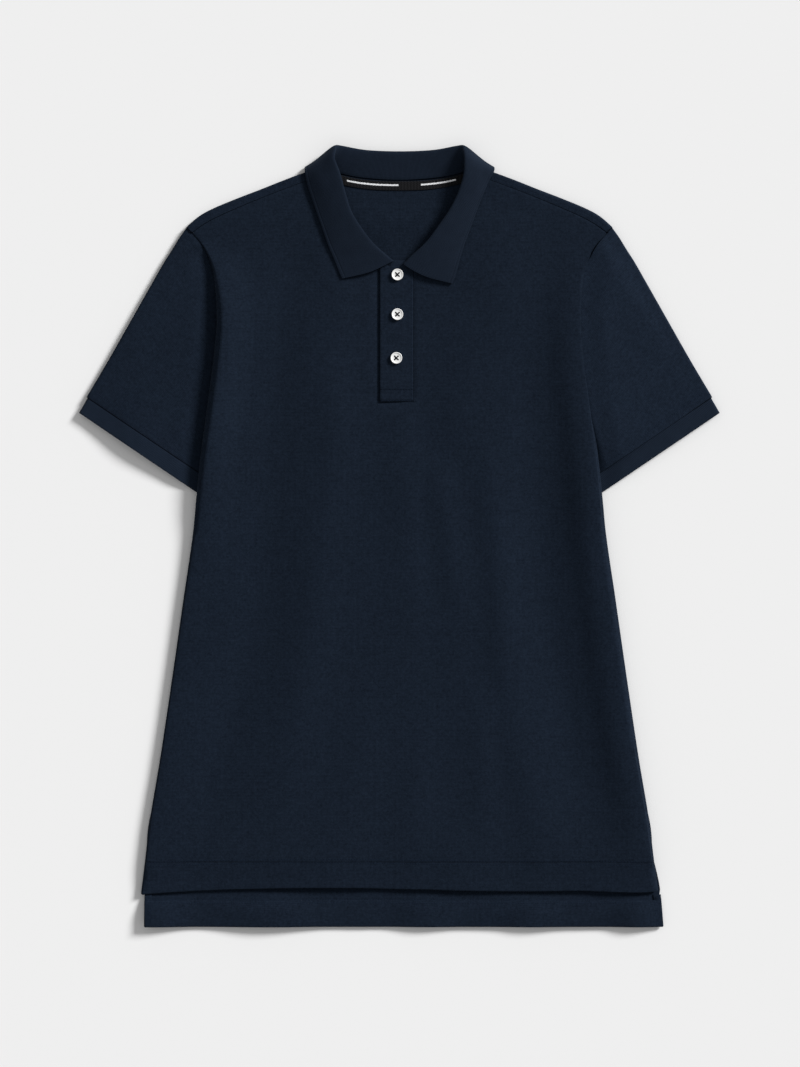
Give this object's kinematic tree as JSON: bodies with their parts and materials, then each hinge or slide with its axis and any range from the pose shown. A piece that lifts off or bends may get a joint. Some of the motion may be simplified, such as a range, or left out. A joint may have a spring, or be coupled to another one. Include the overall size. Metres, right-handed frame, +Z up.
{
  "type": "polo shirt",
  "caption": "Men's short-sleeved pique polo shirt laid flat on its back, with a flat-knit collar, buttoned placket, rib cuffs and a drop-tail hem.",
  "frame": {"origin": "centre of the shirt's footprint, on the surface it lies on", "axes": "+X towards the wearer's left sleeve, +Y from the hem towards the collar, +Z up out of the front"},
  "size_m": [0.6666, 0.8118, 0.0177],
  "materials": {
    "pique": "matt navy cotton pique knit",
    "rib": "matt navy rib knit",
    "collar_knit": "matt navy flat knit with a fine selvedge",
    "tape": "charcoal woven tape with a broken white stripe",
    "button": "white moulded, dished, four holes"
  },
  "bodies": {
    "root": {"front": "pique", "back": "pique", "sleeve_right": "pique", "sleeve_left": "pique", "placket_upper": "pique", "placket_under": "pique", "cuff_right": "rib", "cuff_left": "rib", "collar": "collar_knit", "neck_tape": "tape", "button_1": "button", "button_2": "button", "button_3": "button"}
  },
  "joints": []
}
